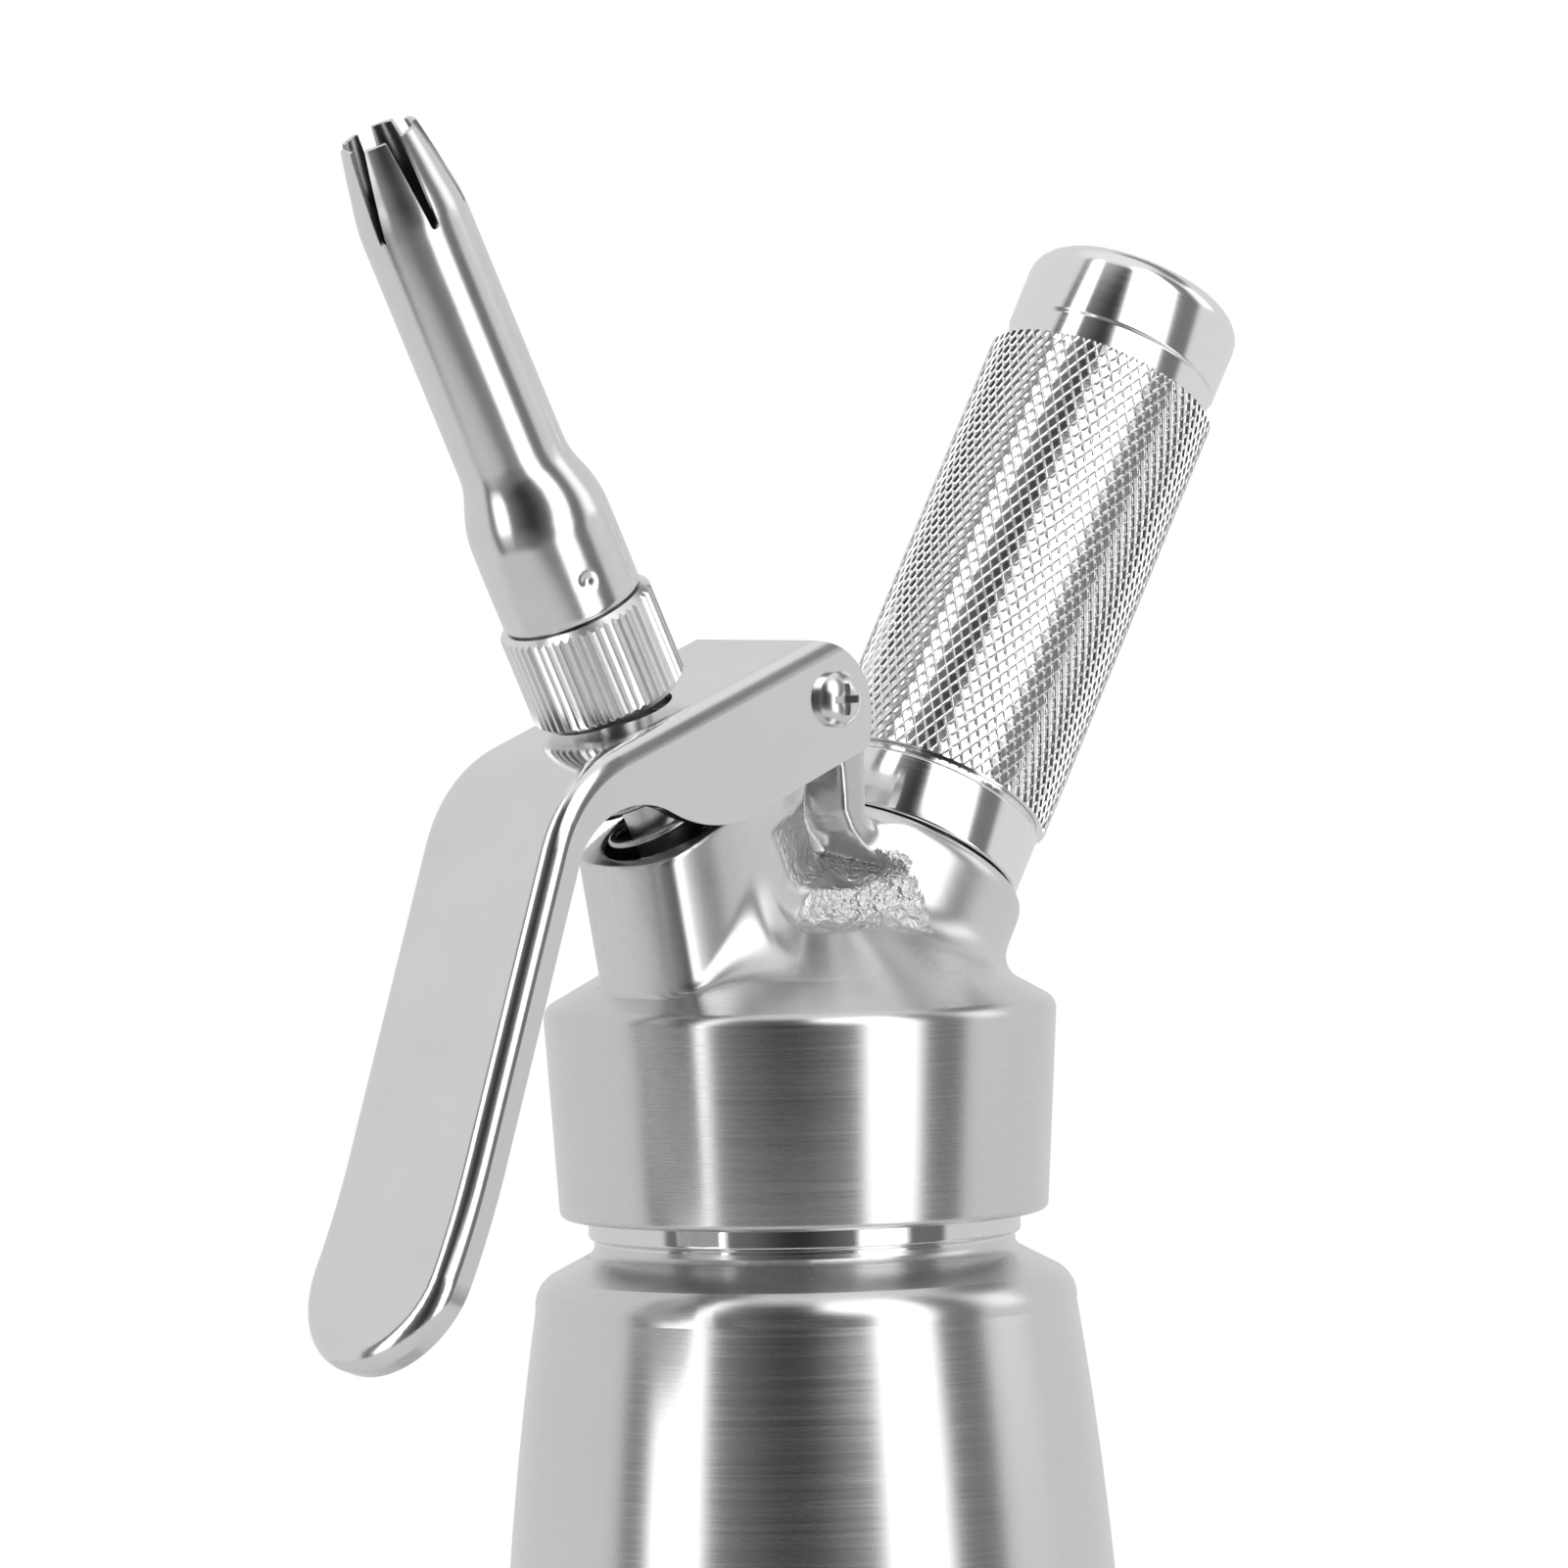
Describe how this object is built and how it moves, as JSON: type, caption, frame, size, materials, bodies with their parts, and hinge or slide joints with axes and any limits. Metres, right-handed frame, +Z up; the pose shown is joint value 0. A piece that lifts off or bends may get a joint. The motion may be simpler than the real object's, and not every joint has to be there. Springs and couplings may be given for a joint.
{
  "type": "whipped cream dispenser",
  "caption": "Steel cream bottle with a screw-on head, squeeze lever, slanted decorating nozzle and knurled gas charger holder.",
  "frame": {"origin": "centre of the bottle's foot, on the surface it stands on", "axes": "+Z up along the bottle; the lever and nozzle lean towards -X, the charger holder towards +X; the lever's pivot runs along Y"},
  "size_m": [0.1431, 0.0764, 0.2822],
  "materials": {
    "bottle": "circumferentially brushed stainless steel",
    "neck_ring": "polished bead, machined thread",
    "head": "cast stainless steel: brushed skirt and cone, rough-cast pocket",
    "head_gasket": "matt silicone",
    "charger_nipple": "machined",
    "piercing_pin": "machined",
    "charger_seal": "matt",
    "check_valve": "matt",
    "valve_spring": "bright wire",
    "lever": "polished stainless sheet",
    "pivot_screw": "polished",
    "pivot_sleeve": "machined",
    "valve_stem": "machined",
    "stem_o_ring": "matt",
    "valve_disc": "matt",
    "valve_nut": "machined",
    "adaptor_nut": "plated, fluted",
    "nozzle": "polished drawn tube",
    "nozzle_insert": "machined",
    "nozzle_seal": "matt",
    "holder_tube": "turned and polished",
    "grip_sleeve": "knurled",
    "holder_cap": "polished, turned",
    "gas_charger": "plain steel capsule"
  },
  "bodies": {
    "bottle": {"bottle": "bottle", "neck_ring": "neck_ring"},
    "head": {"head": "head", "head_gasket": "head_gasket", "charger_nipple": "charger_nipple", "piercing_pin": "piercing_pin", "charger_seal": "charger_seal", "check_valve": "check_valve", "valve_spring": "valve_spring"},
    "lever": {"lever": "lever", "pivot_screw": "pivot_screw", "pivot_sleeve": "pivot_sleeve"},
    "valve": {"valve_stem": "valve_stem", "stem_o_ring": "stem_o_ring", "valve_disc": "valve_disc", "valve_nut": "valve_nut"},
    "adaptor": {"adaptor_nut": "adaptor_nut"},
    "nozzle": {"nozzle": "nozzle", "nozzle_insert": "nozzle_insert", "nozzle_seal": "nozzle_seal"},
    "charger_holder": {"holder_tube": "holder_tube", "grip_sleeve": "grip_sleeve", "holder_cap": "holder_cap", "gas_charger": "gas_charger"}
  },
  "joints": [
    {"name": "head_unscrew", "type": "hinge", "parent": "bottle", "child": "head", "pos_m": [0, 0, 0.1753], "axis": [0, 0, 1], "continuous": true},
    {"name": "lever_squeeze", "type": "hinge", "parent": "head", "child": "lever", "pos_m": [-0.00409, 0, 0.21227], "axis": [0, -1, 0], "range_deg": [0, 12], "stiffness_Nm_per_rad": 0.75, "springref_deg": -10.31},
    {"name": "valve_slide", "type": "slide", "parent": "head", "child": "valve", "axis": [0.454, 0, -0.891], "range_m": [0, 0.0047], "deforming": ["valve_spring"]},
    {"name": "adaptor_turn", "type": "hinge", "parent": "valve", "child": "adaptor", "pos_m": [-0.03171, 0, 0.21807], "axis": [-0.454, 0, 0.891], "continuous": true},
    {"name": "nozzle_turn", "type": "hinge", "parent": "adaptor", "child": "nozzle", "pos_m": [-0.03671, 0, 0.22787], "axis": [-0.454, 0, 0.891], "continuous": true},
    {"name": "holder_unscrew", "type": "hinge", "parent": "head", "child": "charger_holder", "pos_m": [0.02104, 0, 0.19667], "axis": [0.5191, 0, 0.8547], "continuous": true}
  ],
  "couplings": [
    {"joint": "valve_slide", "follows": "lever_squeeze", "m_per_rad": 0.02198}
  ]
}
